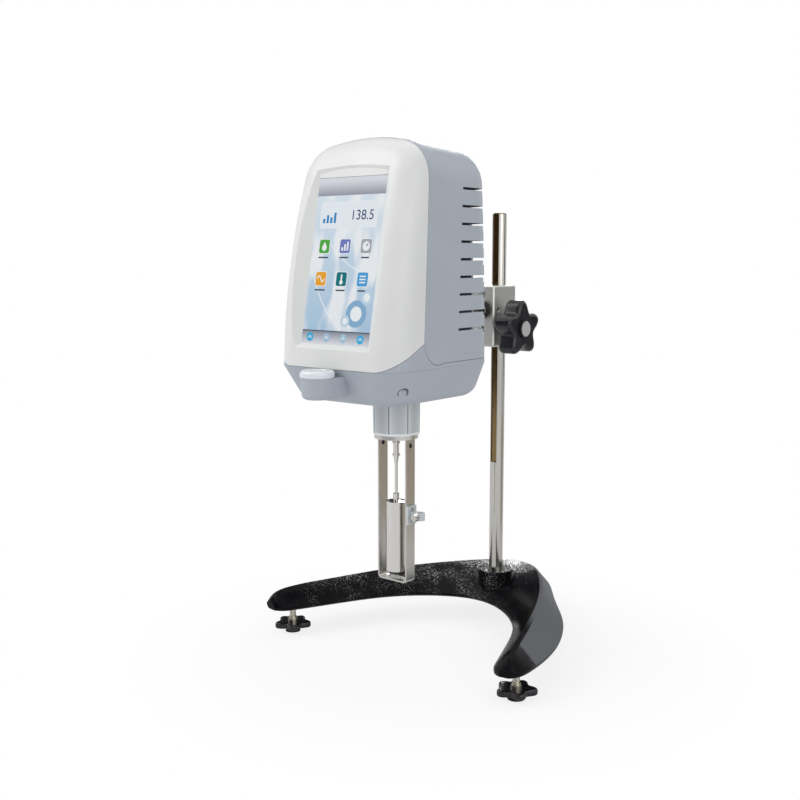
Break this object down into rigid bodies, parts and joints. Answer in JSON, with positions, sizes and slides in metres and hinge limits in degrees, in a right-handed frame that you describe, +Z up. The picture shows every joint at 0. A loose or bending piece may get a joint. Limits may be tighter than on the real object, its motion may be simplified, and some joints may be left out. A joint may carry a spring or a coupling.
{
  "type": "rotational rheometer",
  "caption": "Benchtop rotational rheometer with a tilted touch display head, guarded cylindrical spindle, clamped pole and crescent base on levelling feet.",
  "frame": {"origin": "on the bench under the middle of the instrument's bounding box; the measuring axis is at x = 0, y = -0.0588 m", "axes": "+X to the right of a person facing the display, +Y to the back, +Z up"},
  "size_m": [0.3072, 0.3489, 0.4763],
  "materials": {
    "cast_base": "black wrinkle enamel with a smooth grey outer wall",
    "pole_steel": "ground and polished",
    "screw_steel": "zinc plated",
    "clamp_metal": "satin cast and milled",
    "knob_black": "gloss moulded",
    "cap_grey": "moulded",
    "seal_rubber": "matt",
    "bezel_white": "fine satin moulded",
    "cover_grey": "fine texture moulded",
    "collar_grey": "gloss moulded",
    "vial_glass": "tinted",
    "screen_glass": "clear over a lit display",
    "fitting_black": "moulded",
    "board_green": "solder mask",
    "chassis_alloy": "milled",
    "bearing_steel": "ground",
    "motor_black": "black enamel",
    "guard_steel": "brushed strip",
    "spindle_steel": "fine turned",
    "clip_plastic": "moulded",
    "brass_part": "nickel plated brass"
  },
  "bodies": {
    "stand": {"base_casting": "cast_base", "pole": "pole_steel", "pole_washer": "screw_steel", "pole_nut": "screw_steel"},
    "clamp": {"clamp_block": "clamp_metal", "guide_pin": "screw_steel", "rod_set_screws": "screw_steel"},
    "knob": {"clamp_knob": "knob_black", "knob_cap": "cap_grey", "clamp_screw": "screw_steel"},
    "head": {"mounting_rod": "pole_steel", "rod_ring": "seal_rubber", "front_bezel": "bezel_white", "rear_cover": "cover_grey", "lower_housing": "cover_grey", "level_vial": "vial_glass", "level_cap": "cover_grey", "housing_screws": "screw_steel", "display_glass": "screen_glass", "display_panel": "fitting_black", "main_board": "board_green", "chassis": "chassis_alloy", "bearing_tube": "chassis_alloy", "pivot_bearings": "bearing_steel", "drive_motor": "motor_black", "motor_plate": "chassis_alloy", "sensor_board": "board_green", "power_supply": "board_green", "power_inlet": "fitting_black", "switch_frame": "fitting_black", "data_port": "bearing_steel", "probe_socket": "bearing_steel", "guard_leg": "guard_steel", "guard_ring": "guard_steel", "guard_rivets": "guard_steel", "collar": "collar_grey", "probe_clip": "clip_plastic", "probe_clip_screws": "screw_steel"},
    "drive_rotor": {"drive_disc": "brass_part", "motor_shaft": "bearing_steel", "hairspring": "bearing_steel"},
    "measuring_rotor": {"spindle": "spindle_steel", "spindle_coupling": "spindle_steel", "pivot_shaft": "bearing_steel", "encoder_disc": "fitting_black", "spring_collet": "brass_part"},
    "power_rocker": {"switch_rocker": "knob_black"},
    "probe_screw": {"probe_thumb_screw": "screw_steel"},
    "foot_left": {"levelling_screw_left": "brass_part", "levelling_wheel_left": "knob_black", "foot_pad_left": "seal_rubber"},
    "foot_right": {"levelling_screw_right": "brass_part", "levelling_wheel_right": "knob_black", "foot_pad_right": "seal_rubber"},
    "foot_rear": {"levelling_screw_rear": "brass_part", "levelling_wheel_rear": "knob_black", "foot_pad_rear": "seal_rubber"}
  },
  "joints": [
    {"name": "clamp_slide", "type": "slide", "parent": "stand", "child": "clamp", "axis": [0, 0, 1], "range_m": [-0.07, 0.06]},
    {"name": "head_tilt", "type": "hinge", "parent": "clamp", "child": "head", "pos_m": [0, 0.05, 0.323], "axis": [0, 1, 0], "range_deg": [-8, 8]},
    {"name": "knob_turn", "type": "hinge", "parent": "clamp", "child": "knob", "pos_m": [0.03, 0.0889, 0.305], "axis": [1, 0, 0], "range_deg": [-180, 180]},
    {"name": "drive_spin", "type": "hinge", "parent": "head", "child": "drive_rotor", "pos_m": [0, -0.0588, 0.296], "axis": [0, 0, 1], "continuous": true},
    {"name": "spindle_deflection", "type": "hinge", "parent": "drive_rotor", "child": "measuring_rotor", "pos_m": [0, -0.0588, 0.2], "axis": [0, 0, 1], "range_deg": [-85, 85], "stiffness_Nm_per_rad": 0.0005},
    {"name": "rocker_tilt", "type": "hinge", "parent": "head", "child": "power_rocker", "pos_m": [-0.017, 0.0047, 0.368], "axis": [1, 0, 0], "range_deg": [-12, 0]},
    {"name": "probe_screw_turn", "type": "hinge", "parent": "head", "child": "probe_screw", "pos_m": [0.028, -0.0645, 0.1425], "axis": [0, 1, 0], "range_deg": [-180, 180]},
    {"name": "foot_left_turn", "type": "hinge", "parent": "stand", "child": "foot_left", "pos_m": [-0.1355, -0.0605, 0.01], "axis": [0, 0, 1], "range_deg": [-180, 180]},
    {"name": "foot_right_turn", "type": "hinge", "parent": "stand", "child": "foot_right", "pos_m": [0.1355, -0.0605, 0.01], "axis": [0, 0, 1], "range_deg": [-180, 180]},
    {"name": "foot_rear_turn", "type": "hinge", "parent": "stand", "child": "foot_rear", "pos_m": [0, 0.147, 0.01], "axis": [0, 0, 1], "range_deg": [-180, 180]}
  ]
}
